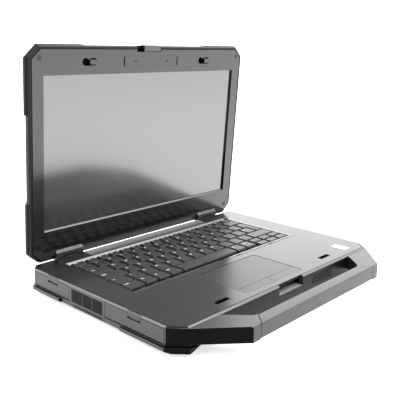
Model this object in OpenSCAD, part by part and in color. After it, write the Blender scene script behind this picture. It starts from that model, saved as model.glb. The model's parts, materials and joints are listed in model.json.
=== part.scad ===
// Rugged laptop computer with a carry handle along its front edge.
// Millimetres. X runs to the user's right, Y away from the user, Z up, feet on z = 0.
// Inside the modules y = 0 is the front edge of the deck; place() moves the whole
// object so that the origin is under the middle of its box with the lid open.

/* [Base] */
// Width of the base across its side walls
base_w = 351; // [345:1:360]
// Height of the deck's top face above the table
base_h = 31; // [29:0.5:34]
// Depth of the deck from its front edge to the lid
deck_d = 231; // [230:0.5:232]
// Thickness of the deck plate
deck_t = 2; // [1.5:0.25:2.5]
// Thickness of the side walls
wall_t = 5.5; // [5:0.25:6]
// Height of the lower shell's top edge above the table
split_h = 10.4; // [10:0.2:10.6]

/* [Lid] */
// Opening angle of the lid from closed
lid_open = 86.2; // [60:0.1:120]
// Width of the lid without its bumpers
lid_w = 347.2; // [345:0.2:349]
// Distance from the hinge axis to the lid's free edge
lid_reach = 239.3; // [238:0.1:240]
// Thickness of the lid
lid_t = 17; // [16:0.5:18]
// Width of the visible screen
screen_w = 310.5; // [300:0.5:312]
// Height of the visible screen
screen_h = 175; // [165:0.5:176]

/* [Handle] */
// How far the handle stands out from the deck's front edge
handle_reach = 44.6; // [42:0.2:55]
// Half width of the finger opening at the base
grip_half = 118; // [112:1:120]
// Height of the handle bar's underside above the table
bar_bottom = 14.4; // [14:0.5:18]

/* [Keyboard] */
// Distance between key centres
key_pitch = 19.05; // [18:0.05:19.1]
// Gap between neighbouring caps
key_gap = 2.6; // [2:0.1:3.4]

/* [Hinge] */
// Radius of the hinge pins
pin_r = 2.5; // [2:0.1:2.8]
// Radial running clearance of the hinge pins
pin_clear = 0.05; // [0.02:0.01:0.1]

/* [Hidden] */
$fn = 48;

// small gaps
seam = 0.4;
eps = 0.01;

// base outline: half width, front and rear edge, and the cut corners
base_x = base_w / 2;
rim_front = -4;
rim_rear = 236;
front_cut = [15.5, 17];
rear_cut = [12.5, 14];
deck_x = base_x - 2.7;
deck_z = base_h - deck_t;
rim_bevel = 1.5;
deck_gap = 0.8;
shell_t = 2;
shell_z = 2.3;

// hinge line
hinge_y = deck_d + 4.9;
hinge_z = base_h + 5;
scoop_r = 6.9;
tower_r = 6.6;
tower_x0 = 102;
tower_x1 = 140;
knuckle_x0 = 112.3;
knuckle_x1 = 129.7;
channel_y = 224;
channel_x = 143;
bar_x = 101;

// lid: local y runs from the hinge axis to the free edge, local z out of the screen
bezel_f = 4;
bezel_t = 2.5;
lid_back_f = bezel_f - lid_t + 2;
panel_rise = 2;
lid_x = lid_w / 2;
lid_foot = -5;
lid_wall = 3.8;
side_slope_f = -3;
lid_cut = [13, 12.3];
bumper_cut = [14, 13.3];
rim_cut = 1.4;
rim_f = bezel_f - 1.8;
bezel_x = 169.2;
bezel_gap = 0.6;
bezel_foot = -3.9;
bezel_top = lid_reach - 4.3;
screen_foot = 32.5;
base_bumper_t = 2.3;
bumper_t = 1.8;
bumper_top = lid_reach + 0.9;
bumper_edge = 1.5;
bumper_back = lid_back_f - panel_rise - 0.5;
hook_v = 221.4;
hook_x = 94.3;
hook_half = 4.6;
tab_notch = [-24, 15.5];

// middle of the whole object's depth with the lid open
lean = 90 - lid_open;
lid_rear_y = hinge_y - (lid_foot + bumper_edge) * sin(lean) - bumper_back * cos(lean);
y_mid = (lid_rear_y - handle_reach) / 2;

// doors in the side walls: [near y, far y, catch centre y]
door_z0 = 12.2;
door_z1 = 28.2;
door_t = 3;
door_pin_r = 0.8;
door_axis_z = door_z0 + door_t / 2;
front_door = [14, 98, 54.7];
rear_door = [157.5, 219, 186.4];
catch_w = 18;
catch_z = 25;
catch_depth = 2.2;

// finger recess of the lid latch and window of the speaker in the front wall
recess_x = 22.3;
recess_z = 19.4;
speaker_x0 = 40.5;
speaker_x1 = 82.5;
speaker_z0 = 14.8;
speaker_z1 = 25.8;

// vents
vent_y0 = 101.5;
vent_y1 = 153.2;
vent_z0 = 12.5;
vent_z1 = 27;

// keyboard
keys_x0 = -141;
keys_y0 = 99.5;
row_pitch = 18.8;
frame_x0 = -143.5;
frame_x1 = 141;
frame_y0 = 90;
frame_y1 = 211.2;
bar_y = frame_y1 + 0.4;
well_y0 = 94;
well_y1 = 206.5;
well_x0 = -141.8;
well_x1 = 134.5;
cap_z = base_h + 0.9;
cap_h = 3.4;
plate_z = base_h - 6.5;

// touchpad
pad_x = -12.2;
pad_w = 101;
pad_y0 = 8.2;
pad_y1 = 79;
button_y = 21.8;

// lid latch slots in the deck
slot_w = 20;
slot_d = 6;
slot_y = hinge_y - hook_v;

// ---------- helpers ----------

module place() {
  translate([0, -y_mid, 0]) children();
}

module on_lid() {
  place() translate([0, hinge_y, hinge_z]) rotate([180 - lid_open, 0, 0]) children();
}

// copies on the left and on the right
module both_sides() {
  for (side = [0, 1]) mirror([side, 0, 0]) children();
}

module block(x0, x1, y0, y1, z0, z1) {
  translate([x0, y0, z0]) cube([x1 - x0, y1 - y0, z1 - z0]);
}

// plate outline with cut corners at the front and at the rear
module cut_outline(half, y0, y1, front, rear) {
  polygon([
    [-half + front[0], y0], [half - front[0], y0], [half, y0 + front[1]], [half, y1 - rear[1]],
    [half - rear[0], y1], [-half + rear[0], y1], [-half, y1 - rear[1]], [-half, y0 + front[1]]
  ]);
}

// the base outline, drawn in by some distance
module base_outline(inset = 0) {
  cut_outline(base_x - inset, rim_front + inset, rim_rear - inset,
    [front_cut[0] - inset * 0.4, front_cut[1] - inset * 0.4],
    [rear_cut[0] - inset * 0.4, rear_cut[1] - inset * 0.4]);
}

// a profile in the YZ plane drawn out along X
module along_x(x0, x1) {
  translate([x0, 0, 0]) rotate([90, 0, 90]) linear_extrude(x1 - x0) children();
}

// a profile in the XZ plane drawn out along Y
module along_y(y0, y1) {
  translate([0, y1, 0]) rotate([90, 0, 0]) linear_extrude(y1 - y0) children();
}

module rod_x(x0, x1, y, z, r) {
  translate([x0, y, z]) rotate([0, 90, 0]) cylinder(h = x1 - x0, r = r);
}

module rod_y(x, y0, y1, z, r) {
  translate([x, y0, z]) rotate([-90, 0, 0]) cylinder(h = y1 - y0, r = r);
}

module rounded_rect(x0, x1, y0, y1, r) {
  square_x = x1 - x0 - 2 * r;
  square_y = y1 - y0 - 2 * r;
  translate([x0 + r, y0]) square([square_x, y1 - y0]);
  translate([x0, y0 + r]) square([x1 - x0, square_y]);
  for (x = [x0 + r, x1 - r], y = [y0 + r, y1 - r]) translate([x, y]) circle(r);
}

// pan-head screw along +Z with a socket, its head's underside at z = 0
module screw(head_r, head_h, shank_r, shank_l) {
  difference() {
    cylinder(h = head_h, r = head_r);
    translate([0, 0, head_h * 0.45]) cylinder(h = head_h, r = head_r * 0.5, $fn = 6);
  }
  translate([0, 0, -shank_l]) cylinder(h = shank_l, r = shank_r);
}

// ---------- base casing ----------

module hinge_scoop() {
  rod_x(-base_x - 1, base_x + 1, hinge_y, hinge_z, scoop_r);
}

module base_lower_shell() {
  color("#6c6a70") place() difference() {
    intersection() {
      translate([0, 0, shell_z]) linear_extrude(split_h - shell_z) base_outline(0.6);
      along_x(-base_x, base_x) polygon([
        [rim_front, shell_z + 5.7], [16, shell_z], [rim_rear - 3, shell_z], [rim_rear, shell_z + 3],
        [rim_rear, split_h], [rim_front, split_h]
      ]);
      along_y(rim_front, rim_rear) polygon([
        [-base_x, split_h], [-base_x, shell_z + 4.2], [-base_x + 6, shell_z], [base_x - 6, shell_z],
        [base_x, shell_z + 4.2], [base_x, split_h]
      ]);
    }
    difference() {
      translate([0, 0, shell_z + shell_t]) linear_extrude(split_h) base_outline(0.6 + 4);
      block(-base_x, base_x, rim_front, 10, 0, split_h);
    }
    // two rows of air slots low in the left wall
    for (row = [0, 1], col = [0 : 2])
      block(-base_x - 1, -base_x + 8, 103.4 + col * 16.6, 118.2 + col * 16.6, 6.5 + row * 1.9,
        7.5 + row * 1.9);
    // intake slots under the fan
    for (row = [0 : 8]) block(-148, -103, 122 + row * 5, 124.5 + row * 5, 0, 6);
    // openings for the docking connector and the feet screws
    block(-30, 30, 150, 162, 0, 6);
    for (p = screw_spots) translate([p[0], p[1], 0]) {
      cylinder(h = 8, r = 1.6);
      cylinder(h = screw_seat, r = 3);
    }
    // seats that the corner bumpers fill
    both_sides() lower_bumper_shape(0.02);
  }
}

screw_seat = shell_z + 0.9;
screw_spots = [
  [-150, 30], [150, 30], [-150, 205], [150, 205], [-60, 205], [60, 205], [-60, 30], [60, 30]
];

module upper_frame_blank() {
  intersection() {
    translate([0, 0, split_h + seam]) linear_extrude(base_h - split_h - seam) base_outline();
    along_x(-base_x, base_x) polygon([
      [rim_front, split_h], [rim_front, base_h - rim_bevel], [rim_front + rim_bevel, base_h],
      [deck_d, base_h], [rim_rear, base_h - 5], [rim_rear, split_h]
    ]);
    along_y(rim_front, rim_rear) polygon([
      [-base_x, split_h], [-base_x, base_h - rim_bevel], [-base_x + rim_bevel, base_h],
      [base_x - rim_bevel, base_h], [base_x, base_h - rim_bevel], [base_x, split_h]
    ]);
  }
}

// pocket, window and pin holes of one side door in the left wall
module door_pocket(door) {
  x_out = -base_x;
  block(x_out - 1, x_out + door_t + seam, door[0] - seam, door[1] + seam, door_z0 - seam,
    door_z1 + seam);
  block(x_out - 1, x_out + wall_t + 1, door[0] + 3, door[1] - 3, door_z0 + 1.2, door_z1 - 1.8);
  rod_y(x_out + door_t / 2, door[0] - 2.4, door[1] + 2.4, door_axis_z, door_pin_r + pin_clear);
  // gap in the rim for the catch
  block(x_out - 1, x_out + 2.5, door[2] - catch_w / 2 - 0.3, door[2] + catch_w / 2 + 0.3, door_z1 - 1,
    base_h + 1);
}

module base_upper_frame() {
  color("#7d7a80") place() difference() {
    upper_frame_blank();
    // cavity, then the seat of the deck plate
    translate([0, 0, split_h]) linear_extrude(base_h - split_h - deck_t)
      cut_outline(base_x - wall_t, rim_front + wall_t, rim_rear - wall_t, [10, 12], [9, 10]);
    translate([0, 0, deck_z - eps]) linear_extrude(base_h) deck_outline(deck_gap);
    both_sides() door_pocket(front_door);
    both_sides() door_pocket(rear_door);
    // window of the side vent
    block(-base_x - 1, -base_x + wall_t + 1, vent_y0, vent_y1, vent_z0, vent_z1);
    // finger recess of the lid latch and window of the speaker grille
    block(-recess_x, recess_x, rim_front - 1, 7, recess_z, base_h - deck_t - 0.4);
    block(-recess_x, recess_x, rim_front - 1, -seam, recess_z, base_h + 1);
    block(speaker_x0, speaker_x1, rim_front - 1, 9, speaker_z0, speaker_z1);
    // window of the rear connectors
    block(-122, 122, rim_rear - wall_t - 1, rim_rear + 1, 12.5, base_h - 6.5);
    // room for the lid's lower edge, the hinge towers and the bar between them
    hinge_scoop();
    block(-channel_x - seam, channel_x + seam, channel_y - 1, rim_rear - wall_t, deck_z - 4, base_h + 1);
    both_sides() block(-tower_x1 - seam, -tower_x0 + seam, channel_y, rim_rear + 1, deck_z - 3.4, base_h + 1);
  }
}

module deck_outline(grow = 0) {
  difference() {
    cut_outline(deck_x + grow, -grow, deck_d - 1.6 + grow, [12, 12], [11.5, 9]);
    if (grow == 0) {
      translate([-channel_x, channel_y - 0.4]) square([2 * channel_x, 20]);
      translate([-bar_x - seam, frame_y1 - 1]) square([2 * (bar_x + seam), 30]);
    }
  }
}

module palm_rest_deck() {
  color("#58585c") place() difference() {
    translate([0, 0, deck_z]) linear_extrude(deck_t) difference() {
      deck_outline();
      // keyboard well, touchpad and the two slots of the lid latch
      translate([frame_x0, frame_y0]) square([frame_x1 - frame_x0, frame_y1 - frame_y0]);
      rounded_rect(pad_x - pad_w / 2 - 0.35, pad_x + pad_w / 2 + 0.35, pad_y0 - 0.35, pad_y1 + 0.35, 5);
      both_sides() translate([-hook_x - slot_w / 2, slot_y - slot_d / 2]) square([slot_w, slot_d]);
    }
    hinge_scoop();
  }
}

// ---------- carry handle ----------

arm_root_y = rim_front - 0.05;
arm_points = [
  [-base_x, rim_front + front_cut[1] - 0.1], [-base_x + front_cut[0] - 0.05, arm_root_y],
  [-grip_half, arm_root_y], [-grip_half, -6], [-98.5, -28.6], [-93, -29.3], [-107.2, -handle_reach],
  [-118, -handle_reach], [-base_x + 14, rim_front - 1.6], [-base_x, rim_front + front_cut[1] - 1.4]
];

// side view of the top front edge of the arms and the bar
handle_edge = [
  [-handle_reach, base_h - 2.4], [-handle_reach + 0.7, base_h - 1], [-handle_reach + 2.2, base_h - 0.3]
];

module handle_arm() {
  intersection() {
    translate([0, 0, 11]) linear_extrude(base_h - 11) polygon(arm_points);
    along_x(-base_x - 1, 0) polygon(concat(
      [[14, bar_bottom - 0.4], [-handle_reach, bar_bottom - 0.4]], handle_edge,
      [[-32, base_h - 0.4], [14, base_h - 0.9]]));
  }
}

module handle_arm_left() {
  color("#9a999d") place() handle_arm();
}

module handle_arm_right() {
  color("#9a999d") place() mirror([1, 0, 0]) handle_arm();
}

module handle_grip_bar() {
  color("#a2a2a4") place() intersection() {
    translate([0, 0, bar_bottom]) linear_extrude(base_h - bar_bottom) polygon([
      [-106.9, -handle_reach], [106.9, -handle_reach], [92.7, -29.3], [-92.7, -29.3]
    ]);
    along_x(-120, 120) polygon(concat(handle_edge, [
      [-31, base_h - 0.4], [-29.3, base_h - 1.8], [-29.3, bar_bottom + 1.5], [-31, bar_bottom],
      [-handle_reach + 0.8, bar_bottom], [-handle_reach, bar_bottom + 0.8]
    ]));
  }
}

// ---------- keyboard ----------

module keyboard_frame() {
  color("#3c3c40") place() difference() {
    along_x(frame_x0 + 0.2, frame_x1 - 0.2) polygon([
      [frame_y0 + 0.2, deck_z - 1.4], [frame_y1 - 0.2, deck_z - 1.4], [frame_y1 - 0.2, base_h - 0.2],
      [frame_y1 - 0.9, base_h + 0.7], [frame_y1 - 2.4, base_h + 0.7], [frame_y1 - 2.8, base_h + 0.35],
      [frame_y0 + 0.2, base_h + 0.35]
    ]);
    along_x(well_x0, well_x1) polygon([
      [well_y0, deck_z - 3], [well_y0, base_h + 3], [well_y1 + 5.2, base_h + 3],
      [well_y1, base_h - 2.2], [well_y1, deck_z - 3]
    ]);
    // finger notches for lifting the frame out
    for (x = [-95, -40, 25, 90]) block(x - 4, x + 4, frame_y0 - 1, frame_y0 + 1.4, deck_z, base_h + 1);
  }
}

module keyboard_plate() {
  color("#232326") place() block(frame_x0 + 0.6, frame_x1 - 0.6, frame_y0 + 0.6, frame_y1 - 0.6, plate_z,
    plate_z + 1.2);
}

// one cap with its stem: left edge and width, front edge and depth
module key_cap(x0, w, y0, d) {
  g = key_gap / 2;
  top_in = 0.9;
  block(x0 + g, x0 + w - g, y0 + g, y0 + d - g, cap_z - cap_h, cap_z - 1);
  block(x0 + g + top_in, x0 + w - g - top_in, y0 + g + top_in, y0 + d - g - top_in / 2, cap_z - 1 - eps,
    cap_z);
  block(x0 + w / 2 - 2, x0 + w / 2 + 2, y0 + d / 2 - 2, y0 + d / 2 + 2, cap_z - cap_h - 0.4,
    cap_z - cap_h);
}

// a run of equal keys
module key_run(x0, count, row, u = 1) {
  for (i = [0 : count - 1])
    key_cap(x0 + i * u * key_pitch, u * key_pitch, keys_y0 + row * row_pitch, row_pitch);
}

module wide_key(x0, x1, row) {
  key_cap(x0, x1 - x0, keys_y0 + row * row_pitch, row_pitch);
}

keys_x1 = 133.5;
first_stop = [1.07, 1.5, 1.75, 1.25];

function after_first(i) = keys_x0 + first_stop[i] * key_pitch;

module keys_function_row() {
  short_pitch = (keys_x1 - keys_x0 - 20) / 15;
  y0 = keys_y0 + 5 * row_pitch - 4 + 3.6;
  color("#2a2a2d") place() {
    key_cap(keys_x0, 20, y0, 12.2);
    for (i = [0 : 14]) key_cap(keys_x0 + 20 + i * short_pitch, short_pitch, y0, 12.2);
  }
}

module keys_number_row() {
  color("#2a2a2d") place() {
    wide_key(keys_x0, after_first(0), 4);
    key_run(after_first(0), 12, 4);
    wide_key(after_first(0) + 12 * key_pitch, keys_x1, 4);
  }
}

module keys_top_letter_row() {
  color("#2a2a2d") place() {
    wide_key(keys_x0, after_first(1), 3);
    key_run(after_first(1), 12, 3);
  }
}

module keys_home_row() {
  color("#2a2a2d") place() {
    wide_key(keys_x0, after_first(2), 2);
    key_run(after_first(2), 12, 2);
  }
}

module keys_bottom_letter_row() {
  color("#2a2a2d") place() {
    wide_key(keys_x0, after_first(3), 1);
    key_run(after_first(3), 11, 1);
    wide_key(after_first(3) + 11 * key_pitch, keys_x1, 1);
  }
}

space_x0 = keys_x0 + 4.25 * key_pitch;
space_x1 = space_x0 + 5 * key_pitch;
arrow_x0 = space_x1 + 2.1 * key_pitch;

module keys_modifier_row() {
  color("#2a2a2d") place() {
    wide_key(keys_x0, keys_x0 + 1.25 * key_pitch, 0);
    key_run(keys_x0 + 1.25 * key_pitch, 3, 0);
    key_run(space_x1, 2, 0);
  }
}

// half-height keys: three above and three below
module keys_arrow_cluster() {
  w = (keys_x1 - arrow_x0) / 3;
  d = 12.2;
  color("#2a2a2d") place() for (col = [0 : 2], row = [0, 1])
    key_cap(arrow_x0 + col * w, w, keys_y0 + row_pitch - (2 - row) * d, d);
}

// upright L-shaped key over two rows
module key_enter() {
  upper_x0 = after_first(1) + 12 * key_pitch;
  lower_x0 = after_first(2) + 12 * key_pitch;
  g = key_gap / 2;
  y0 = keys_y0 + 2 * row_pitch;
  color("#2a2a2d") place() {
    block(lower_x0 + g, keys_x1 - g, y0 + g, y0 + 2 * row_pitch - g, cap_z - cap_h, cap_z - 1);
    block(upper_x0 + g, keys_x1 - g, y0 + row_pitch + g, y0 + 2 * row_pitch - g, cap_z - cap_h, cap_z - 1);
    block(lower_x0 + g + 0.9, keys_x1 - g - 0.9, y0 + g + 0.9, y0 + 2 * row_pitch - g - 0.9,
      cap_z - 1 - eps, cap_z);
    block(upper_x0 + g + 0.9, keys_x1 - g - 0.9, y0 + row_pitch + g + 0.9, y0 + 2 * row_pitch - g - 0.9,
      cap_z - 1 - eps, cap_z);
  }
}

module key_space_bar() {
  color("#2a2a2d") place() wide_key(space_x0, space_x1, 0);
}

// ---------- touchpad ----------

module touchpad() {
  color("#606064") place() translate([0, 0, deck_z - 1]) linear_extrude(deck_t + 0.75)
    difference() {
      rounded_rect(pad_x - pad_w / 2, pad_x + pad_w / 2, pad_y0, pad_y1, 4.6);
      translate([pad_x - pad_w, 0]) square([2 * pad_w, button_y]);
    }
}

module pad_button(x0, x1) {
  translate([0, 0, deck_z - 0.8]) linear_extrude(deck_t + 0.6) intersection() {
    rounded_rect(pad_x - pad_w / 2, pad_x + pad_w / 2, pad_y0, pad_y1, 4.6);
    translate([x0, 0]) square([x1 - x0, button_y - 0.4]);
  }
}

module touchpad_button_left() {
  color("#606064") place() pad_button(pad_x - pad_w, pad_x - 0.2);
}

module touchpad_button_right() {
  color("#606064") place() pad_button(pad_x + 0.2, pad_x + pad_w);
}

// ---------- hinge parts on the base ----------

// side view of a hinge tower: a flat front, a sloping facet and a round back
module tower_profile() {
  intersection() {
    translate([hinge_y, hinge_z]) circle(tower_r);
    polygon([
      [hinge_y - 6.4, hinge_z - 12], [hinge_y - 6.4, hinge_z + 2], [hinge_y - 3.4, hinge_z + 5.6],
      [hinge_y + 4, hinge_z + 5.6], [hinge_y + 12, hinge_z - 6], [hinge_y + 12, hinge_z - 12]
    ]);
  }
}

module hinge_tower() {
  difference() {
    union() {
      along_x(tower_x0, tower_x1) union() {
        tower_profile();
        // stem down into the base, clear of the lid's swing
        polygon([
          [hinge_y - 6.4, deck_z - 3], [hinge_y - 6.4, hinge_z], [hinge_y - 2, hinge_z - 4],
          [hinge_y - 3.4, base_h - 1.6], [hinge_y - 1.4, deck_z - 1.6], [hinge_y - 1.4, deck_z - 3]
        ]);
      }
      // foot plate, the floor of the channel
      block(bar_x + 0.6, channel_x, channel_y, rim_rear - wall_t - 0.1, deck_z - 3, deck_z - 0.6);
    }
    // slot of the lid's knuckle
    intersection() {
      rod_x(knuckle_x0 - 0.3, knuckle_x1 + 0.3, hinge_y, hinge_z, scoop_r + 0.2);
      block(0, 200, 0, hinge_y + 20, deck_z - 0.7, 80);
    }
    block(knuckle_x0 - 0.3, knuckle_x1 + 0.3, hinge_y - 9, hinge_y, base_h + 0.5, base_h + 20);
    // blind bore of the pin
    rod_x(tower_x0 + 1, tower_x1 - 1, hinge_y, hinge_z, pin_r + pin_clear);
  }
}

module hinge_towers() {
  color("#37373b") place() both_sides() hinge_tower();
}

// satin bar between the keyboard and the lid, arched towards its rear
module hinge_bar_cover() {
  color("#d9d9d6") place() difference() {
    along_x(-bar_x, bar_x) polygon([
      [bar_y, deck_z - 2], [bar_y, base_h - 0.9], [bar_y + 3, base_h - 0.3], [bar_y + 8, base_h + 0.2],
      [bar_y + 13, base_h + 0.5], [bar_y + 17, base_h + 0.5], [bar_y + 18.6, base_h - 0.6],
      [bar_y + 18.6, deck_z - 3.4], [channel_y, deck_z - 3.4], [channel_y - 1.5, deck_z - 2]
    ]);
    hinge_scoop();
  }
}

// ---------- small parts of the casing ----------

module latch_recess_lip() {
  floor_z = recess_z + 0.1;
  color("#c9c9cb") place() along_x(0.1 - recess_x, recess_x - 0.1) polygon([
    [rim_front + 0.1, floor_z], [6.9, floor_z], [6.9, base_h - deck_t - 0.5], [5.6, base_h - deck_t - 0.5],
    [5.6, floor_z + 1], [rim_front + 0.1, floor_z + 0.6]
  ]);
}

module side_vent_grille() {
  x_out = -base_x;
  cols = 3;
  rows = 7;
  col_pitch = (vent_y1 - vent_y0 - 2) / cols;
  row_step = (vent_z1 - vent_z0 - 1.4) / rows;
  color("#747278") place() difference() {
    block(x_out + 0.5, x_out + 2.7, vent_y0 + 0.1, vent_y1 - 0.1, vent_z0 + 0.1, vent_z1 - 0.1);
    for (c = [0 : cols - 1], r = [0 : rows - 1])
      translate([x_out - 1, vent_y0 + 1.9 + c * col_pitch, vent_z0 + 1.2 + r * row_step])
        cube([6, col_pitch - 1.8, row_step * 0.58]);
  }
}

module speaker_grille() {
  cols = 12;
  rows = 5;
  col_pitch = (speaker_x1 - speaker_x0 - 2) / cols;
  row_step = (speaker_z1 - speaker_z0 - 1.2) / rows;
  color("#66656a") place() difference() {
    block(speaker_x0 + 0.1, speaker_x1 - 0.1, rim_front + 0.3, rim_front + 2.3, speaker_z0 + 0.1,
      speaker_z1 - 0.1);
    for (c = [0 : cols - 1], r = [0 : rows - 1])
      translate([speaker_x0 + 1.5 + c * col_pitch, rim_front - 1, speaker_z0 + 1 + r * row_step])
        cube([col_pitch * 0.68, 8, row_step * 0.6]);
  }
}

// one side door as it stands in the left wall
module side_door(door) {
  x_out = -base_x;
  difference() {
    union() {
      block(x_out, x_out + door_t, door[0], door[1], door_axis_z, door_z1);
      rod_y(x_out + door_t / 2, door[0], door[1], door_axis_z, door_t / 2);
      rod_y(x_out + door_t / 2, door[0] - 2, door[1] + 2, door_axis_z, door_pin_r);
    }
    // recess that the catch slides in, and the pocket of its blade
    block(x_out - 1, x_out + catch_depth, door[2] - catch_w / 2 - 0.2, door[2] + catch_w / 2 + 0.2,
      catch_z - 2.4, door_z1 + 1);
    block(x_out + 1.1, x_out + catch_depth, door[2] - catch_w / 2 + 2, door[2] + catch_w / 2 - 2,
      catch_z - 4.8, catch_z - 2.3);
  }
}

// finger tab that runs up into the rim, and the blade behind it
module door_catch(door) {
  x_out = -base_x;
  near = door[2] - catch_w / 2;
  far = door[2] + catch_w / 2;
  color("#858389") {
    along_y(near, far) polygon([
      [x_out - 0.2, catch_z], [x_out - 0.2, base_h - rim_bevel], [x_out + rim_bevel - 0.3, base_h - 0.1],
      [x_out + 2, base_h - 0.1], [x_out + 2, catch_z]
    ]);
    block(x_out + 1.3, x_out + 2, near + 2.4, far - 2.4, catch_z - 2.5, catch_z + eps);
  }
}

door_color = "#7d7a80";

module left_front_door() {
  color(door_color) place() side_door(front_door);
}

module left_rear_door() {
  color(door_color) place() side_door(rear_door);
}

module right_front_door() {
  color(door_color) place() mirror([1, 0, 0]) side_door(front_door);
}

module right_rear_door() {
  color(door_color) place() mirror([1, 0, 0]) side_door(rear_door);
}

module left_front_catch() {
  place() door_catch(front_door);
}

module left_rear_catch() {
  place() door_catch(rear_door);
}

module right_front_catch() {
  place() mirror([1, 0, 0]) door_catch(front_door);
}

module right_rear_catch() {
  place() mirror([1, 0, 0]) door_catch(rear_door);
}

// sockets behind the rear doors: [width along y, height]
usb_size = [12.6, 5.4];
usb_y = [172, 190, 208];

module side_ports() {
  color("#1d1d20") place() both_sides() difference() {
    block(-base_x + wall_t - 1, -base_x + 20.5, 163.5, 215.5, 13.8, 26);
    for (y = usb_y)
      block(-base_x, -base_x + 17, y - usb_size[0] / 2, y + usb_size[0] / 2, 20 - usb_size[1] / 2,
        20 + usb_size[1] / 2);
  }
}

// sockets in the rear wall
network_size = [12, 8.5];
network_x = [-95, -72];
audio_x = 62;
audio_r = 1.8;
audio_l = 14;
socket_z = 18;

module rear_connectors() {
  y_out = rim_rear - 0.6;
  color("#202023") place() difference() {
    union() {
      block(-121.7, 121.7, 208, y_out - 1.5, 12.8, base_h - 6.8);
      // raised metal shells of the serial and display sockets
      for (x = [-40, -4]) block(x - 12, x + 12, y_out - 2, y_out + 0.3, socket_z - 4.6, socket_z + 4.6);
      rod_y(100, y_out - 2, y_out, socket_z, 5.2);
      rod_y(audio_x, y_out - 2, y_out, socket_z, 3.4);
    }
    for (x = network_x)
      block(x - network_size[0] / 2, x + network_size[0] / 2, y_out - 15, y_out + 1,
        socket_z - network_size[1] / 2, socket_z + network_size[1] / 2);
    for (x = [-40, -4]) block(x - 9, x + 9, y_out - 6, y_out + 1, socket_z - 2.6, socket_z + 2.6);
    // power inlet with its centre pin, and the headset socket
    difference() {
      rod_y(100, y_out - 9, y_out + 1, socket_z, 3.7);
      rod_y(100, y_out - 12, y_out - 1.5, socket_z, 0.9);
    }
    rod_y(audio_x, y_out - audio_l, y_out + 1, socket_z, audio_r);
  }
}

module dock_connector() {
  color("#2b2b2e") place() difference() {
    block(-29.8, 29.8, 150.2, 161.8, shell_z + 0.4, shell_z + 4.6);
    block(-25, 25, 153, 159, 0, shell_z + 1.6);
  }
}

// rubber corners of the lower shell: a rear one and a front one on the left side
module lower_bumper_shape(grow = 0) {
  top = split_h + grow;
  intersection() {
    difference() {
      translate([0, 0, shell_z]) linear_extrude(top - shell_z) base_outline(-base_bumper_t);
      linear_extrude(base_h) base_outline(2.2 + grow);
    }
    union() {
      block(-base_x - 5, 0, rim_front - 5, 74.5 + grow, 0, base_h);
      block(-base_x - 5, 0, 173 - grow, rim_rear + 5, 0, base_h);
    }
    // bevelled lower edge and sloping inner end
    along_y(rim_front - 5, rim_rear + 5) polygon([
      [-base_x - 3, split_h + 1], [-base_x - 3, shell_z + 4.7], [-base_x + 2.6, shell_z + 2.3],
      [-160, shell_z + 2.3], [-140, split_h + 1]
    ]);
  }
}

module lower_corner_bumpers() {
  color("#5f5e63") place() both_sides() lower_bumper_shape();
}

module rubber_feet() {
  color("#1b1b1d") place() {
    both_sides() {
      translate([-128, 214, 0]) linear_extrude(shell_z) rounded_rect(-22, 22, -5, 5, 4.5);
      translate([-128, 28, 0]) linear_extrude(shell_z) rounded_rect(-22, 22, -5, 5, 4.5);
    }
  }
}

module base_screws() {
  color("#8d8d90") place() for (p = screw_spots)
    translate([p[0], p[1], screw_seat]) rotate([180, 0, 0]) screw(2.6, 0.9, 1.5, 5);
}

// ---------- inside the base ----------

board_z = 12.4;

module mainboard() {
  color("#1f5a33") place() union() {
    block(-92, 140, 112, 206, board_z, board_z + 1.6);
    // processor, chipset and a row of coils
    block(-70, -34, 150, 186, board_z + 1.6 - eps, board_z + 3.6);
    block(-20, 2, 156, 178, board_z + 1.6 - eps, board_z + 3);
    for (i = [0 : 5]) block(-78 + i * 9, -72 + i * 9, 192, 198, board_z + 1.6 - eps, board_z + 4.2);
  }
}

module memory_modules() {
  color("#2c6b45") place() for (i = [0, 1])
    block(20 + i * 2, 87.6 + i * 2, 120 + i * 40, 150 + i * 40, board_z + 1.7, board_z + 5.2);
}

module wireless_card() {
  color("#2f7a55") place() block(102, 132, 150, 172, board_z + 1.7, board_z + 4.4);
}

module solid_state_drive() {
  color("#9c9ea1") place() block(-165, -65, 22, 92, 14, 21);
}

module battery_pack() {
  color("#26262a") place() block(-58, 160, 24, 90, 8.6, 24);
}

fan_x = -125;
fan_y = 140;
fan_r = 22;

module fan_housing() {
  color("#303034") place() difference() {
    block(fan_x - 29, fan_x + 29, fan_y - 30, fan_y + 30, 5, 22);
    translate([fan_x, fan_y, 6.2]) cylinder(h = 14.6, r = fan_r + 2.5);
    translate([fan_x, fan_y, 0]) cylinder(h = 10, r = fan_r - 2);
    translate([fan_x, fan_y, 15]) cylinder(h = 10, r = fan_r - 2);
    // air outlet towards the fins
    block(fan_x - 40, fan_x, fan_y - fan_r, fan_y + fan_r, 6.6, 20.4);
  }
}

module fan_rotor() {
  blades = 11;
  color("#3a3a3e") place() translate([fan_x, fan_y, 7]) {
    cylinder(h = 12.6, r = 8);
    for (i = [0 : blades - 1]) rotate([0, 0, i * 360 / blades])
      translate([7, -0.5, 1]) rotate([0, 0, 18]) cube([14.4, 1, 11]);
  }
}

module heat_sink() {
  fins = 17;
  color("#b87a4b") place() union() {
    block(-167, -156, 106, 155, 6, 7);
    for (i = [0 : fins - 1]) block(-167, -156, 106 + i * 3, 107 + i * 3, 7 - eps, 22);
    block(-167, -156, 106, 162, 22 - eps, 22.9);
    // flat heat pipe to the processor
    block(-167, -48, 156, 162, 22.1, 24.3);
    block(-60, -48, 156, 162, board_z + 5.4, 24.3);
    block(-68, -36, 152, 184, board_z + 3.8, board_z + 5.5);
  }
}

module speaker() {
  color("#222225") place() block(43, 80, 9.5, 21, 13, 26);
}

// ---------- lid ----------

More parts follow.
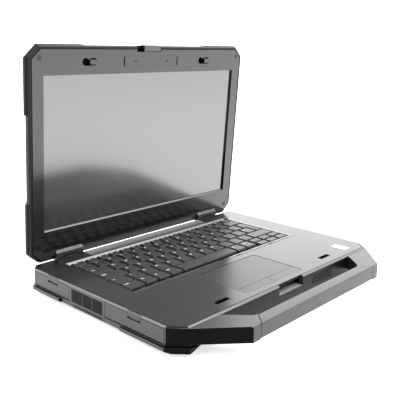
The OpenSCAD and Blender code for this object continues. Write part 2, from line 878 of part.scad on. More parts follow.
module lid_outline(inset = 0) {
  cut_outline(lid_x - inset, lid_foot + inset, lid_reach - inset, [13, 12], lid_cut);
}

// room behind the 45 degree slopes at the back of the two top corners
module corner_slopes(half, top, cut, slope_f) {
  both_sides() translate([-half + cut[0] / 2, top - cut[1] / 2, slope_f])
    rotate([0, 0, atan2(cut[1], cut[0])]) rotate([-45, 0, 0]) translate([-30, 0, -40]) cube([60, 40, 80]);
}

// outer shape of the back cover: a bevelled front edge, and long slopes behind its sides
module lid_blank(grow = 0) {
  difference() {
    lid_block(grow);
    corner_slopes(lid_x + grow, lid_reach + grow, lid_cut, side_slope_f - 0.5);
  }
}

module lid_block(grow) {
  intersection() {
    hull() {
      translate([0, 0, lid_back_f - grow]) linear_extrude(rim_f - lid_back_f + grow) lid_outline(-grow);
      translate([0, 0, bezel_f - 0.2 - eps]) linear_extrude(eps) lid_outline(rim_cut - grow);
    }
    along_x(-lid_x - grow, lid_x + grow) polygon([
      [lid_foot - grow, bezel_f], [lid_foot - grow, lid_back_f + 3], [lid_foot + 3, lid_back_f - grow],
      [lid_reach - 2.8, lid_back_f - grow], [lid_reach + grow, lid_back_f + 2.8], [lid_reach + grow, bezel_f]
    ]);
    along_y(lid_foot - grow, lid_reach + grow) side_slopes(lid_x + grow, side_slope_f, lid_back_f - grow);
  }
}

// section across the lid: straight sides down to slope_f, then 45 degree slopes to the back
module side_slopes(half, slope_f, back_f) {
  in = slope_f - back_f;
  polygon([
    [-half, bezel_f], [-half, slope_f], [-half + in, back_f], [half - in, back_f], [half, slope_f],
    [half, bezel_f]
  ]);
}

// room in the lid's lower edge for the hinge towers
module tower_notches(f0) {
  both_sides() block(tower_x0 - 0.8, tower_x1 + 0.8, lid_foot - 5, scoop_r, f0, bezel_f + 5);
}

module lid_back_cover() {
  color("#6b6a70") on_lid() difference() {
    union() {
      lid_blank();
      // raised panel on the back
      translate([0, 0, lid_back_f - panel_rise]) linear_extrude(panel_rise + eps)
        cut_outline(118, 18, lid_reach - 16, [24, 24], [16, 16]);
    }
    difference() {
      intersection() {
        translate([0, 0, lid_back_f + shell_t]) linear_extrude(40) lid_outline(lid_wall);
        along_y(lid_foot, lid_reach) side_slopes(lid_x - lid_wall, side_slope_f - 0.7, lid_back_f + shell_t);
      }
      corner_slopes(lid_x - lid_wall, lid_reach - lid_wall, lid_cut, side_slope_f - 1.6);
    }
    translate([0, 0, bezel_f - bezel_t - 0.2]) linear_extrude(20) bezel_outline(bezel_gap);
    tower_notches(lid_back_f + 4 - 0.1);
    // notch of the latch tab in the top edge
    block(tab_notch[0], tab_notch[1], lid_reach - lid_wall - 1, lid_reach + 1, -3.4, bezel_f + 1);
  }
}

module bezel_outline(grow = 0) {
  cut_outline(bezel_x + grow, bezel_foot - grow, bezel_top + grow, [10.4, 11.4], [10.8, 10.2]);
}

module lid_bezel() {
  color("#5c5c60") on_lid() difference() {
    translate([0, 0, bezel_f - bezel_t]) linear_extrude(bezel_t) bezel_outline();
    block(-screen_w / 2, screen_w / 2, screen_foot, screen_foot + screen_h, -5, bezel_f + 1);
    // sloping inner lip at the foot of the screen
    along_x(-screen_w / 2, screen_w / 2) polygon([
      [screen_foot + 1, bezel_f + 0.1], [screen_foot - 1.4, bezel_f + 0.1],
      [screen_foot + 0.1, bezel_f - 1.6], [screen_foot + 1, bezel_f - 1.6]
    ]);
    tower_notches(-20);
    // oblong openings of the latch hooks
    both_sides() translate([0, 0, -1]) linear_extrude(10)
      rounded_rect(-hook_x - 10.4, -hook_x + 10.4, hook_v - 4.2, hook_v + 4.2, 4.1);
    // seat of the microphone panel and the slits at its ends
    block(-43.2, 43.2, hook_v - 6.1, hook_v + 6.1, bezel_f - 1, bezel_f + 1);
    both_sides() block(-44.6, -43, hook_v - 5.3, hook_v + 5.3, -5, bezel_f + 1);
    // notch of the latch tab
    block(tab_notch[0], tab_notch[1], lid_reach - 7, lid_reach, -5, bezel_f + 1);
    for (p = bezel_screw_spots) translate([p[0], p[1], -2]) cylinder(h = 10, r = 1.6);
    for (p = bezel_screw_spots) translate([p[0], p[1], bezel_f - 1.2]) cylinder(h = 3, r = 3);
  }
}

bezel_screw_spots = [[-160.5, 226], [160.5, 226], [-159.3, 9.4], [159.3, 9.4]];

module lcd_panel() {
  color("#9a9b98") on_lid() translate([0, 0, -2.6]) linear_extrude(3.9)
    translate([-screen_w / 2 - 4, screen_foot - 4]) square([screen_w + 8, screen_h + 8]);
}

module display_back_plate() {
  color("#a9abad") on_lid() difference() {
    block(-screen_w / 2 - 6, screen_w / 2 + 6, screen_foot - 8, screen_foot + screen_h + 8, -3.8, -2.7);
    for (x = [-100, 0, 100]) translate([x, screen_foot + screen_h / 2, -5]) cylinder(h = 5, r = 18);
  }
}

// outline of the rubber corners' outer faces
module bumper_outline(inset = 0) {
  side = lid_x + bumper_t - inset;
  cut_outline(side, lid_foot + inset, bumper_top - inset, [14, 13], bumper_cut);
}

// one rubber corner, at the top left or the bottom left; its front slopes back from the lid's rim
module lid_bumper(v0, v1, x_end) {
  front_f = rim_f - bumper_t * 1.2;
  intersection() {
    difference() {
      hull() {
        translate([0, 0, bumper_back]) linear_extrude(front_f - bumper_back) bumper_outline();
        translate([0, 0, rim_f - eps]) linear_extrude(eps) bumper_outline(bumper_t);
      }
      lid_blank(0.02);
      corner_slopes(lid_x + bumper_t, bumper_top, bumper_cut, side_slope_f + 0.5);
    }
    along_x(-lid_x - 5, 0) polygon([
      [v0, bezel_f], [v0, bumper_back + 4], [v0 + bumper_edge, bumper_back], [v1 - 2.5, bumper_back],
      [v1, bumper_back + 2.5], [v1, bezel_f]
    ]);
    along_y(-20, 260) polygon([
      [-lid_x - 3, bezel_f], [-lid_x - 3, side_slope_f + 0.9], [-lid_x + 6.6, bumper_back],
      [x_end, bumper_back], [x_end, bezel_f]
    ]);
  }
}

module lid_corner_bumpers() {
  color("#5a595e") on_lid() both_sides() {
    difference() {
      lid_bumper(165.7, bumper_top, -101);
      block(-140, 0, 100, lid_reach - 15.8, -40, 20);
    }
    difference() {
      lid_bumper(lid_foot, 66.7, -146);
      block(-158, 0, 30, 80, -40, 20);
    }
  }
}

module lid_hinge_arms() {
  color("#3b3b3f") on_lid() both_sides() difference() {
    union() {
      // knuckle on the pin, faceted like the towers beside it
      rotate([-(180 - lid_open), 0, 0]) translate([0, -hinge_y, -hinge_z])
        along_x(knuckle_x0, knuckle_x1) tower_profile();
      block(knuckle_x0 + 0.4, knuckle_x1 - 0.4, 0, 62, -8.9, -5);
      block(knuckle_x0 - 8, knuckle_x1 + 8, 26, 62, -8.9, -7.4);
    }
    rod_x(knuckle_x0 - 1, knuckle_x1 + 1, 0, 0, pin_r);
    for (y = [34, 54], x = [knuckle_x0 - 4, knuckle_x1 + 4]) translate([x, y, -12]) cylinder(h = 12, r = 1.3);
  }
}

module hinge_pins() {
  color("#b9bbbd") on_lid() both_sides() rod_x(tower_x0 + 1.3, tower_x1 - 1.3, 0, 0, pin_r);
}

module bezel_screws() {
  color("#2e2e31") on_lid() for (p = bezel_screw_spots)
    translate([p[0], p[1], bezel_f - 1.2]) screw(2.8, 1, 1.5, 4);
}

module microphone_panel() {
  color("#57575b") on_lid() difference() {
    block(-42.9, 42.9, hook_v - 5.95, hook_v + 5.95, bezel_f - 1, bezel_f + 0.05);
    for (x = [-26, 26]) translate([x, hook_v, bezel_f - 3]) cylinder(h = 5, r = 1.1);
  }
}

module lid_latch_tab() {
  color("#77767b") on_lid() union() {
    block(-13, 14, lid_reach - 6.4, lid_reach + 0.9, 0.6, bezel_f + 0.6);
    block(-13, 14, lid_reach - 2.8, lid_reach + 0.9, -2.4, 0.6 + eps);
  }
}

// hooks on a rod behind the bezel, moved by the tab
module lid_latch_hooks() {
  color("#8b8a8e") on_lid() union() {
    block(-hook_x - 3, hook_x + 3, hook_v + 5.4, hook_v + 8, -1.6, 1.2);
    // each hook's centre is set to the free side of its opening
    for (x = [2.8 - hook_x, hook_x + 2.8]) {
      block(x - hook_half, x - hook_half + 5.6, hook_v - 2.6, hook_v + 5.4 + eps, -1.6, 1.2);
      block(x - hook_half, x + hook_half - 2.4, hook_v - 2.6, hook_v + 2.6, 1.2 - eps, bezel_f + 1.8);
      block(x - hook_half, x + hook_half, hook_v - 2.6, hook_v + 2.6, bezel_f + 1.8 - eps, bezel_f + 3.2);
    }
    block(-11, 12, hook_v + 8 - eps, lid_reach - 6.5, -1.6, 1.2);
    block(-11, 12, lid_reach - 6.5 - eps, lid_reach - 4.4, -1.6, 0.5);
  }
}

// ---------- one line for each node ----------

base_lower_shell();
base_upper_frame();
palm_rest_deck();
handle_arm_left();
handle_arm_right();
handle_grip_bar();
keyboard_frame();
keyboard_plate();
touchpad();
touchpad_button_left();
touchpad_button_right();
keys_function_row();
keys_number_row();
keys_top_letter_row();
keys_home_row();
keys_bottom_letter_row();
keys_modifier_row();
keys_arrow_cluster();
key_enter();
key_space_bar();
hinge_towers();
hinge_bar_cover();
latch_recess_lip();
side_vent_grille();
speaker_grille();
left_front_door();
left_rear_door();
right_front_door();
right_rear_door();
left_front_catch();
left_rear_catch();
right_front_catch();
right_rear_catch();
side_ports();
rear_connectors();
dock_connector();
lower_corner_bumpers();
rubber_feet();
base_screws();
mainboard();
memory_modules();
wireless_card();
solid_state_drive();
battery_pack();
fan_housing();
fan_rotor();
heat_sink();
speaker();
lid_back_cover();
lid_bezel();
lcd_panel();
display_back_plate();
lid_corner_bumpers();
lid_hinge_arms();
hinge_pins();
bezel_screws();
microphone_panel();
lid_latch_tab();
lid_latch_hooks();
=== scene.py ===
"""Looks of a rugged laptop computer with a front carry handle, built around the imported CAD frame."""
import json
import math

import bmesh
import bpy
from mathutils import Matrix, Vector


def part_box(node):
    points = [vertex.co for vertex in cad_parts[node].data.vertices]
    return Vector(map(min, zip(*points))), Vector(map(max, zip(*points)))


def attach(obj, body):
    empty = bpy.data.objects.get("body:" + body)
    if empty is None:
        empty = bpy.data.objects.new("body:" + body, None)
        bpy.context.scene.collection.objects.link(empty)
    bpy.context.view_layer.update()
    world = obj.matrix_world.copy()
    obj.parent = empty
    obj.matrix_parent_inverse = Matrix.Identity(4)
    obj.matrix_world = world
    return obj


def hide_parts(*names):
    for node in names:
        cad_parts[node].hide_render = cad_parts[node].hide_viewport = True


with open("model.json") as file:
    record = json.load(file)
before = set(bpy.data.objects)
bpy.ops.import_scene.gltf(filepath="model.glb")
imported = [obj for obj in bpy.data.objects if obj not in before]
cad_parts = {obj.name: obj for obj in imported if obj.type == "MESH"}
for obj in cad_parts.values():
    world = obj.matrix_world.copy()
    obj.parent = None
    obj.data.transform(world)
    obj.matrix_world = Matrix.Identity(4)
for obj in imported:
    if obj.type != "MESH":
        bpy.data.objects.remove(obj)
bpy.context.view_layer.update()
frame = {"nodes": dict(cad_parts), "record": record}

MM = 0.001
NODES = frame["nodes"]

# ---------- camera ----------
# Places are in the row frame, in metres; angles are in degrees.
CAMERA_AT = (-0.5384, -0.4630, 0.2794)
CAMERA_YAW = -47.49
CAMERA_PITCH = 14.08
CAMERA_ROLL = 1.0
CAMERA_LENS = 56.4


def make_camera():
    yaw, pitch, roll = (math.radians(a) for a in (CAMERA_YAW, CAMERA_PITCH, CAMERA_ROLL))
    back = Vector((math.sin(yaw) * math.cos(pitch), -math.cos(yaw) * math.cos(pitch), math.sin(pitch)))
    right = (-back).cross(Vector((0, 0, 1))).normalized()
    up = right.cross(-back)
    tilted_right = right * math.cos(roll) + up * math.sin(roll)
    tilted_up = up * math.cos(roll) - right * math.sin(roll)
    axes = Matrix((tilted_right, tilted_up, back)).transposed()
    data = bpy.data.cameras.new("camera")
    data.lens = CAMERA_LENS
    data.clip_start = 0.02
    camera = bpy.data.objects.new("camera", data)
    camera.matrix_world = Matrix.Translation(CAMERA_AT) @ axes.to_4x4()
    bpy.context.scene.collection.objects.link(camera)
    bpy.context.scene.camera = camera


# ---------- studio ----------
TENT_LIGHT = 4.0
# the tent's darker side: where it lies, how it fades (cosines) and what share of the light is left there
SHADE_TOWARD = (-0.72, -0.66, 0.22)
SHADE_EDGES = (0.55, 0.92)
SHADE_SHARE = 0.3
# the tent's brighter top: how it fades (heights on the unit sphere) and by how much it is brighter
TOP_EDGES = (0.45, 0.7)
TOP_GAIN = 1.7
FLOOR_SIZE = 14.0
FLOOR_TONE = (0.5, 0.5, 0.5, 1)
FLOOR_GLOW = 0.65


def make_world():
    """A white light tent, brighter overhead and darker on the side that the camera looks in from."""
    world = bpy.data.worlds.new("light_tent")
    world.use_nodes = True
    nodes, links = world.node_tree.nodes, world.node_tree.links
    nodes.clear()
    coords = nodes.new("ShaderNodeTexCoord")
    toward = nodes.new("ShaderNodeVectorMath")
    toward.operation = "DOT_PRODUCT"
    toward.inputs[1].default_value = SHADE_TOWARD
    links.new(coords.outputs["Generated"], toward.inputs[0])
    shade = nodes.new("ShaderNodeMapRange")
    shade.interpolation_type = "SMOOTHSTEP"
    shade.inputs["From Min"].default_value, shade.inputs["From Max"].default_value = SHADE_EDGES
    shade.inputs["To Min"].default_value = TENT_LIGHT
    shade.inputs["To Max"].default_value = TENT_LIGHT * SHADE_SHARE
    links.new(toward.outputs["Value"], shade.inputs["Value"])
    axes = nodes.new("ShaderNodeSeparateXYZ")
    links.new(coords.outputs["Generated"], axes.inputs["Vector"])
    overhead = nodes.new("ShaderNodeMapRange")
    overhead.interpolation_type = "SMOOTHSTEP"
    overhead.inputs["From Min"].default_value, overhead.inputs["From Max"].default_value = TOP_EDGES
    overhead.inputs["To Min"].default_value = 1
    overhead.inputs["To Max"].default_value = TOP_GAIN
    links.new(axes.outputs["Z"], overhead.inputs["Value"])
    strength = nodes.new("ShaderNodeMath")
    strength.operation = "MULTIPLY"
    links.new(shade.outputs["Result"], strength.inputs[0])
    links.new(overhead.outputs["Result"], strength.inputs[1])
    background = nodes.new("ShaderNodeBackground")
    links.new(strength.outputs["Value"], background.inputs["Strength"])
    out = nodes.new("ShaderNodeOutputWorld")
    links.new(background.outputs["Background"], out.inputs["Surface"])
    bpy.context.scene.world = world


def make_floor():
    """A plain pale floor that glows a little, so that the shadow under the laptop stays light."""
    mesh = bpy.data.meshes.new("floor")
    half = FLOOR_SIZE / 2
    corners = [(-half, -half, 0), (half, -half, 0), (half, half, 0), (-half, half, 0)]
    mesh.from_pydata(corners, [], [(0, 1, 2, 3)])
    floor = bpy.data.objects.new("floor", mesh)
    bpy.context.scene.collection.objects.link(floor)
    material = bpy.data.materials.new("pale_floor")
    material.use_nodes = True
    shader = material.node_tree.nodes["Principled BSDF"]
    shader.inputs["Base Color"].default_value = FLOOR_TONE
    shader.inputs["Emission Color"].default_value = (1, 1, 1, 1)
    shader.inputs["Emission Strength"].default_value = FLOOR_GLOW
    shader.inputs["Roughness"].default_value = 0.9
    shader.inputs["Specular IOR Level"].default_value = 0.1
    mesh.materials.append(material)


LAMP_AT = (0.5, -0.4, 0.9)
LAMP_LOOKS_AT = (0.45, -0.35, 0)
LAMP_SIZE = 0.7
LAMP_POWER = 9


def make_lamp():
    """A soft lamp over the floor at the laptop's right, which the screen mirrors."""
    data = bpy.data.lights.new("floor_glow", "AREA")
    data.shape = "RECTANGLE"
    data.size = data.size_y = LAMP_SIZE
    data.energy = LAMP_POWER
    light = bpy.data.objects.new("floor_glow", data)
    direction = Vector(LAMP_LOOKS_AT) - Vector(LAMP_AT)
    light.matrix_world = Matrix.Translation(LAMP_AT) @ direction.to_track_quat("-Z", "Y").to_matrix().to_4x4()
    bpy.context.scene.collection.objects.link(light)


# ---------- materials ----------
# colour, roughness, and optional: metallic, specular, grain (bump size in mm), relief (bump strength),
# mottle (colour variation), brushed (stretched grain), blotch (roughness variation),
# painted_front_shade (painted shade toward the front: front y, rear y and how dark the front is)
FINISHES = {
    "casing_plastic": dict(color=(0.009, 0.0085, 0.010), rough=0.38, grain=0.5, relief=0.30, mottle=0.16),
    "deck_paint": dict(color=(0.003, 0.003, 0.0036), rough=0.22, specular=0.53, grain=0.35, relief=0.16,
                       mottle=0.10),
    "lid_casing": dict(color=(0.003, 0.0029, 0.0034), rough=0.40, specular=0.18, grain=0.45, relief=0.25,
                       mottle=0.12),
    "bezel_plastic": dict(color=(0.0014, 0.0014, 0.0019), rough=0.16, specular=0.75, grain=0.4,
                          relief=0.20, mottle=0.10),
    "handle_plastic": dict(color=(0.007, 0.0069, 0.0075), rough=0.34, specular=0.45, grain=0.5,
                           relief=0.28, mottle=0.12),
    # painted shade: a near-black finish for the upright front-corner faces, where little light reaches
    "painted_shade_rubber": dict(color=(0.0008, 0.0007, 0.0009), rough=0.5, specular=0.05, grain=0.6, relief=0.3,
                        mottle=0.2),
    "bumper_rubber": dict(color=(0.0016, 0.0015, 0.0019), rough=0.42, specular=0.13, grain=0.6,
                          relief=0.35, mottle=0.15),
    "foot_rubber": dict(color=(0.003, 0.003, 0.003), rough=0.75, specular=0.2, grain=0.7, relief=0.4,
                        mottle=0.2),
    "key_plastic": dict(color=(0.004, 0.004, 0.0045), rough=0.43, grain=0.3, relief=0.18, mottle=0.15),
    "legend_ink": dict(color=(0.30, 0.30, 0.30), rough=0.6, grain=0.2, relief=0.05, mottle=0.05),
    "touchpad_surface": dict(color=(0.004, 0.004, 0.0045), rough=0.30, specular=0.4, grain=0.2,
                             relief=0.08, mottle=0.06),
    "hinge_plastic": dict(color=(0.006, 0.006, 0.0066), rough=0.42, specular=0.45, grain=0.4,
                          relief=0.25, mottle=0.15),
    # the satin bar's colour is darkened toward its front as painted shade, for its rounded top catching the
    # light
    "satin_bar": dict(color=(0.30, 0.30, 0.30), rough=0.34, metallic=0.5, grain=0.3, relief=0.06,
                      mottle=0.05,
                      brushed=True, painted_front_shade=(0.1095, 0.127, 0.03)),
    # painted highlight: a lighter finish for bevels, ledges and tops where the light catches them
    "painted_highlight_edge": dict(color=(0.02, 0.0195, 0.022), rough=0.3, specular=0.7, grain=0.4, relief=0.2,
                     mottle=0.1),
    # painted highlight: a light finish for the ledge of the latch recess
    "painted_highlight_ledge": dict(color=(0.13, 0.13, 0.13), rough=0.3, specular=0.6, grain=0.4, relief=0.1,
                         mottle=0.1),
    # painted highlight: a lighter finish for the sloping lip below the screen
    "painted_highlight_lip": dict(color=(0.025, 0.025, 0.025), rough=0.35, specular=0.5, grain=0.4, relief=0.1,
                     mottle=0.1),
    "bright_metal": dict(color=(0.30, 0.30, 0.31), rough=0.35, metallic=0.9, grain=0.3, relief=0.10,
                         mottle=0.1,
                         brushed=True),
    "screw_steel": dict(color=(0.04, 0.04, 0.045), rough=0.38, metallic=0.8, grain=0.3, relief=0.15,
                        mottle=0.2),
    "screen_surface": dict(color=(0.0010, 0.0012, 0.0010), rough=0.155, ior=2.3, grain=0.25, relief=0.04,
                           mottle=0.05,
                           blotch=0.02),
    "plate_metal": dict(color=(0.25, 0.26, 0.27), rough=0.4, metallic=0.9, grain=0.4, relief=0.12,
                        mottle=0.1,
                        brushed=True),
    "board_green": dict(color=(0.004, 0.025, 0.01), rough=0.35, grain=0.8, relief=0.2, mottle=0.3),
    "port_black": dict(color=(0.003, 0.003, 0.0035), rough=0.5, specular=0.3, grain=0.4, relief=0.2,
                       mottle=0.15),
    "fan_plastic": dict(color=(0.006, 0.006, 0.007), rough=0.45, grain=0.4, relief=0.2, mottle=0.1),
    "copper": dict(color=(0.35, 0.16, 0.08), rough=0.35, metallic=1.0, grain=0.4, relief=0.12, mottle=0.25,
                   brushed=True),
    "label_paper": dict(color=(0.18, 0.20, 0.22), rough=0.3, grain=0.3, relief=0.05, mottle=0.08),
}
BUMP_DISTANCE = 0.00006


def make_material(name, color, rough, metallic=0.0, specular=0.5, ior=1.5, grain=0.4, relief=0.2,
                  mottle=0.1, brushed=False, blotch=0.07, painted_front_shade=None):
    """A shader with fine grain in its bump and colour, and broad variation in its roughness and colour."""
    material = bpy.data.materials.new(name)
    material.use_nodes = True
    nodes, links = material.node_tree.nodes, material.node_tree.links
    shader = nodes["Principled BSDF"]
    shader.inputs["Metallic"].default_value = metallic
    shader.inputs["IOR"].default_value = ior
    shader.inputs["Specular IOR Level"].default_value = specular
    coords = nodes.new("ShaderNodeTexCoord")
    mapping = nodes.new("ShaderNodeMapping")
    mapping.inputs["Scale"].default_value = (0.03, 1, 1) if brushed else (1, 1, 1)
    links.new(coords.outputs["Object"], mapping.inputs["Vector"])

    fine = nodes.new("ShaderNodeTexNoise")
    fine.inputs["Scale"].default_value = 1 / (grain * MM)
    fine.inputs["Detail"].default_value = 3
    links.new(mapping.outputs["Vector"], fine.inputs["Vector"])
    bump = nodes.new("ShaderNodeBump")
    bump.inputs["Strength"].default_value = relief
    bump.inputs["Distance"].default_value = BUMP_DISTANCE
    links.new(fine.outputs["Fac"], bump.inputs["Height"])
    links.new(bump.outputs["Normal"], shader.inputs["Normal"])

    broad = nodes.new("ShaderNodeTexNoise")
    broad.inputs["Scale"].default_value = 38
    broad.inputs["Detail"].default_value = 5
    links.new(mapping.outputs["Vector"], broad.inputs["Vector"])
    roughness = nodes.new("ShaderNodeMapRange")
    roughness.inputs["To Min"].default_value = rough * (1 - blotch)
    roughness.inputs["To Max"].default_value = rough * (1 + blotch)
    links.new(broad.outputs["Fac"], roughness.inputs["Value"])
    links.new(roughness.outputs["Result"], shader.inputs["Roughness"])

    tone = nodes.new("ShaderNodeValToRGB")
    tone.color_ramp.elements[0].position = 0.3
    tone.color_ramp.elements[0].color = (*(c * (1 - mottle) for c in color), 1)
    tone.color_ramp.elements[1].position = 0.7
    tone.color_ramp.elements[1].color = (*(min(1, c * (1 + mottle)) for c in color), 1)
    links.new(broad.outputs["Fac"], tone.inputs["Fac"])
    speckle = nodes.new("ShaderNodeMix")
    speckle.data_type = "RGBA"
    speckle.blend_type = "MULTIPLY"
    speckle.inputs["Factor"].default_value = mottle
    links.new(tone.outputs["Color"], speckle.inputs[6])
    links.new(fine.outputs["Color"], speckle.inputs[7])
    last = speckle.outputs[2]
    # painted shade: the colour darkens toward the front y, standing in for light falling off a rounded face
    if painted_front_shade:
        front, rear, dark = painted_front_shade
        axes = nodes.new("ShaderNodeSeparateXYZ")
        links.new(coords.outputs["Object"], axes.inputs["Vector"])
        along = nodes.new("ShaderNodeMapRange")
        along.inputs["From Min"].default_value = front
        along.inputs["From Max"].default_value = rear
        links.new(axes.outputs["Y"], along.inputs["Value"])
        front_shade_mix = nodes.new("ShaderNodeMix")
        front_shade_mix.data_type = "RGBA"
        front_shade_mix.inputs[6].default_value = (*(c * dark for c in color), 1)
        links.new(along.outputs["Result"], front_shade_mix.inputs["Factor"])
        links.new(last, front_shade_mix.inputs[7])
        last = front_shade_mix.outputs[2]
    links.new(last, shader.inputs["Base Color"])
    return material


MATERIALS = {name: make_material(name, **finish) for name, finish in FINISHES.items()}
SLOT_OF = {s["node"]: s["material_slot"] for s in frame["record"]["subparts"]}
BODY_OF = {n: b for b, members in frame["record"]["behaviour"]["bodies"].items() for n in members}

# ---------- mesh helpers ----------
WELD = 1e-6
SMOOTH_ANGLE = math.radians(40)


def finish_mesh(piece):
    """Smooth shading that keeps the flat faces flat."""
    piece.data.shade_smooth()
    piece.data.set_sharp_from_angle(angle=SMOOTH_ANGLE)
    piece.modifiers.new("weighted_normals", "WEIGHTED_NORMAL").keep_sharp = True


def new_piece(name, mesh, body, *materials):
    piece = bpy.data.objects.new(name, mesh)
    bpy.context.scene.collection.objects.link(piece)
    for material in materials:
        mesh.materials.append(MATERIALS[material])
    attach(piece, body)
    return piece


def rounded_copy(node, edge, segments=2, sharp=28.0):
    """A copy of a CAD node with its sharp edges rounded, which stands for the node."""
    mesh = NODES[node].data.copy()
    mesh.materials.clear()
    bm = bmesh.new()
    bm.from_mesh(mesh)
    bmesh.ops.remove_doubles(bm, verts=bm.verts, dist=WELD)
    bmesh.ops.dissolve_limit(bm, angle_limit=math.radians(1), verts=bm.verts, edges=bm.edges)
    edges = [e for e in bm.edges if len(e.link_faces) == 2 and e.calc_face_angle() > math.radians(sharp)]
    bmesh.ops.bevel(bm, geom=edges, offset=edge * MM, segments=segments, profile=0.5, affect="EDGES",
                    clamp_overlap=True)
    bm.normal_update()
    bm.to_mesh(mesh)
    bm.free()
    piece = new_piece(node + "_finish", mesh, BODY_OF[node], SLOT_OF[node])
    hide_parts(node)
    finish_mesh(piece)
    return piece


def islands(node):
    """The boxes of a CAD node's separate solids, as (low, high) corners, left to right."""
    mesh = NODES[node].data
    bm = bmesh.new()
    bm.from_mesh(mesh)
    bmesh.ops.remove_doubles(bm, verts=bm.verts, dist=WELD)
    left, boxes = set(bm.verts), []
    while left:
        stack, found = [left.pop()], []
        while stack:
            vert = stack.pop()
            found.append(vert.co.copy())
            for e in vert.link_edges:
                other = e.other_vert(vert)
                if other in left:
                    left.discard(other)
                    stack.append(other)
        boxes.append((Vector(map(min, zip(*found))), Vector(map(max, zip(*found)))))
    bm.free()
    return sorted(boxes, key=lambda b: (round(b[0].x, 5), b[0].y))


# ---------- pieces ----------
# edge radius in mm for each node that shows
EDGE_RADIUS = {
    "base_lower_shell": 0.5, "base_upper_frame": 0.45, "palm_rest_deck": 0.55, "handle_arm_left": 1.5,
    "handle_arm_right": 1.5, "handle_grip_bar": 1.6, "keyboard_frame": 0.3, "touchpad": 0.2,
    "touchpad_button_left": 0.2, "touchpad_button_right": 0.2, "hinge_towers": 0.5, "hinge_bar_cover": 0.3,
    "latch_recess_lip": 0.2, "left_front_door": 0.35, "left_rear_door": 0.35,
    "right_front_door": 0.35, "right_rear_door": 0.35, "left_front_catch": 0.3,
    "left_rear_catch": 0.3, "right_front_catch": 0.3, "right_rear_catch": 0.3, "rear_connectors": 0.25,
    "dock_connector": 0.25, "lower_corner_bumpers": 1.0, "rubber_feet": 0.6, "lid_back_cover": 0.7,
    "lid_bezel": 0.35, "lid_corner_bumpers": 1.1, "lid_hinge_arms": 0.4, "microphone_panel": 0.2,
    "lid_latch_tab": 0.4, "lid_latch_hooks": 0.3, "side_vent_grille": 0.04, "speaker_grille": 0.04,
}
KEY_EDGE = 0.4
KEY_NODES = [n for n in NODES if n.startswith("key") and n not in ("keyboard_frame", "keyboard_plate")]
# the piece that stands for each node
FINISHED = {}


def make_casings():
    """Rounds the nodes that show, and gives the other ones their material."""
    for node, edge in EDGE_RADIUS.items():
        FINISHED[node] = rounded_copy(node, edge, segments=3 if edge >= 1 else 2)
    for node in KEY_NODES:
        FINISHED[node] = rounded_copy(node, KEY_EDGE)
    for node, obj in NODES.items():
        if not obj.hide_render:
            obj.data.materials.clear()
            obj.data.materials.append(MATERIALS[SLOT_OF[node]])


def paint_faces(piece, material, chosen):
    """Gives another material to the faces of a piece that chosen(normal, centre) picks."""
    mesh = piece.data
    mesh.materials.append(MATERIALS[material])
    for face in mesh.polygons:
        if chosen(face.normal, face.center):
            face.material_index = len(mesh.materials) - 1


LID_OPEN = 86.2
HINGE_AT = next(j["pos_m"] for j in frame["record"]["behaviour"]["joints"] if j["name"] == "lid_hinge")


def lid_place(point):
    """How far a point is up the lid from the hinge axis, and how far out of its screen side."""
    tilt = math.radians(180 - LID_OPEN)
    y, z = point.y - HINGE_AT[1], point.z - HINGE_AT[2]
    return y * math.cos(tilt) + z * math.sin(tilt), z * math.cos(tilt) - y * math.sin(tilt)


SCREEN_LIP_UP = 32.3 * MM
SCREEN_LIP_HALF = 0.156
BEZEL_FRONT = 3.9 * MM
DOOR_RECESS_HEIGHTS = (22 * MM, 23.5 * MM)
RIM_HEIGHT = 28 * MM
FACES = 0.9


def faces_corner(normal, centre):
    """True on the upright faces across the front corners."""
    return abs(normal.z) < 0.35 and normal.y < -0.35 and abs(normal.x) > 0.45


def front_wall(normal, centre):
    """True on the wall behind the handle."""
    return normal.y < -FACES and centre.y < -0.1 and abs(centre.x) < 0.16


def bumper_side(normal, centre):
    """True on the left and right sides of the lower bumpers, not on their corners."""
    return abs(normal.x) > 0.6 and abs(normal.y) < 0.35


def deck_edge(normal, centre):
    """True on the deck's front and side edges, which lie in the shade of the seam."""
    return -0.5 < normal.z < 0.97 and centre.y < -0.02


def rim_bevel(normal, centre):
    """True on the bevel round the top of the base, up to the hinges, which gets a painted highlight."""
    return 0.4 < normal.z < 0.95 and centre.z > RIM_HEIGHT and centre.y < 0.12


def rear_slope(normal, centre):
    """True on the slope behind the rear row of keys."""
    return normal.y < -0.3 and normal.z > 0.3 and centre.y > 0.1


def door_recess(normal, centre):
    """True on the floor of the recess that a catch slides in."""
    return normal.z > 0.7 and DOOR_RECESS_HEIGHTS[0] < centre.z < DOOR_RECESS_HEIGHTS[1]


def at_screen_foot(normal, centre):
    """True on the sloping lip below the screen."""
    along, out = lid_place(centre)
    return abs(along - SCREEN_LIP_UP) < 2 * MM and abs(centre.x) < SCREEN_LIP_HALF and out < BEZEL_FRONT


def faces_left(normal, centre):
    return normal.x < -FACES


def faces_front(normal, centre):
    return normal.y < -FACES


def faces_up(normal, centre):
    return normal.z > FACES


CORNER_NODES = ("handle_arm_left", "handle_arm_right", "base_upper_frame", "base_lower_shell",
                "lower_corner_bumpers")
DOOR_NODES = ("left_front_door", "left_rear_door", "right_front_door", "right_rear_door")
